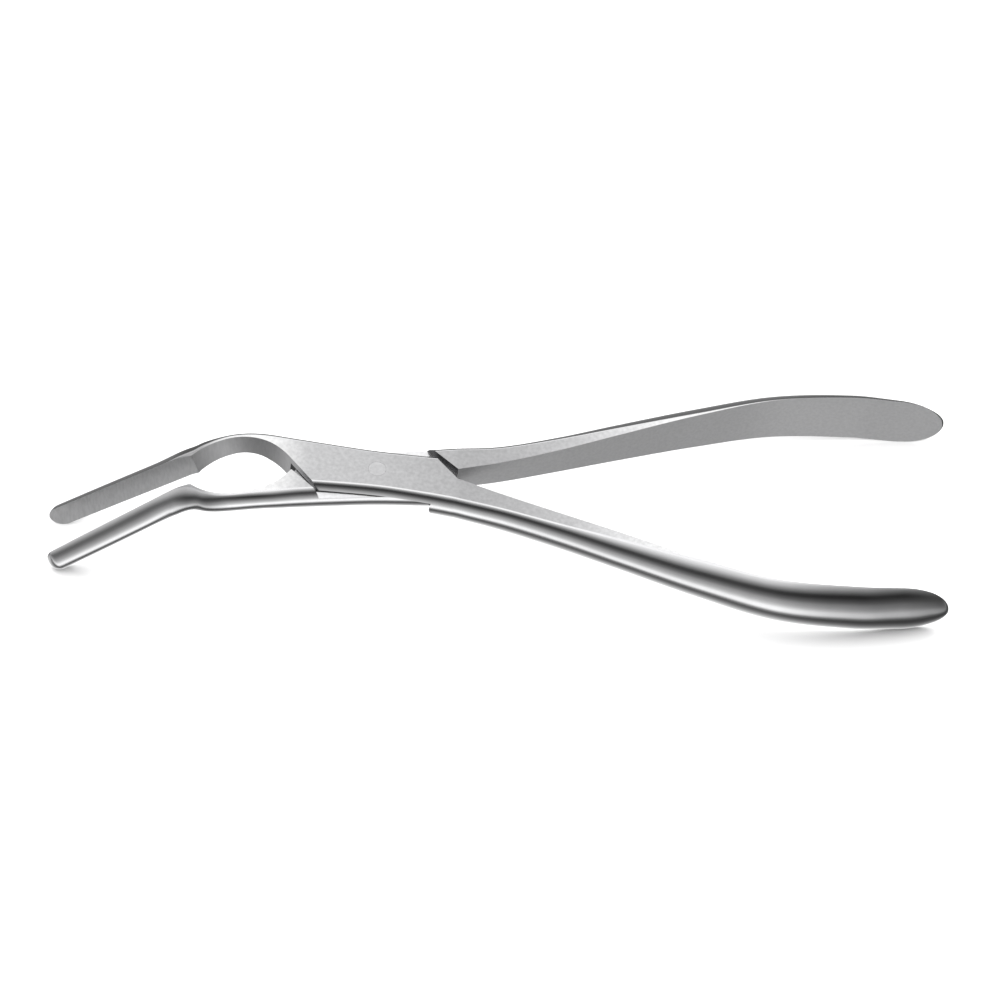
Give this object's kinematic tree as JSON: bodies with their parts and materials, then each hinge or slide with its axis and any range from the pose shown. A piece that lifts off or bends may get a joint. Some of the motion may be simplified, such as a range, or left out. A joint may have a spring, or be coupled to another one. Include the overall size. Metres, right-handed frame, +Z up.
{
  "type": "septum straightening forceps",
  "caption": "Two-armed steel surgical forceps with a lap joint, flat blades bent down ahead of an arched opening, and bowed handles.",
  "frame": {"origin": "middle of the plan outline, on the surface that the forceps lie on, resting on blade tips and handles", "axes": "+X towards the handles, +Y towards the blade of the top arm, +Z up"},
  "size_m": [0.2266, 0.0692, 0.0323],
  "materials": {
    "satin_steel_top_arm": "ground satin flats, polished backs",
    "satin_steel_bottom_arm": "ground satin flats, polished backs",
    "ground_steel_screw": "ground flush, satin"
  },
  "bodies": {
    "top_body": {"top_arm": "satin_steel_top_arm", "joint_screw": "ground_steel_screw"},
    "bottom_body": {"bottom_arm": "satin_steel_bottom_arm"}
  },
  "joints": [
    {"name": "lap_joint", "type": "hinge", "parent": "top_body", "child": "bottom_body", "pos_m": [-0.02905, 0, 0.02925], "axis": [0.1211, 0, 0.9926], "range_deg": [-7.6, 20]}
  ]
}
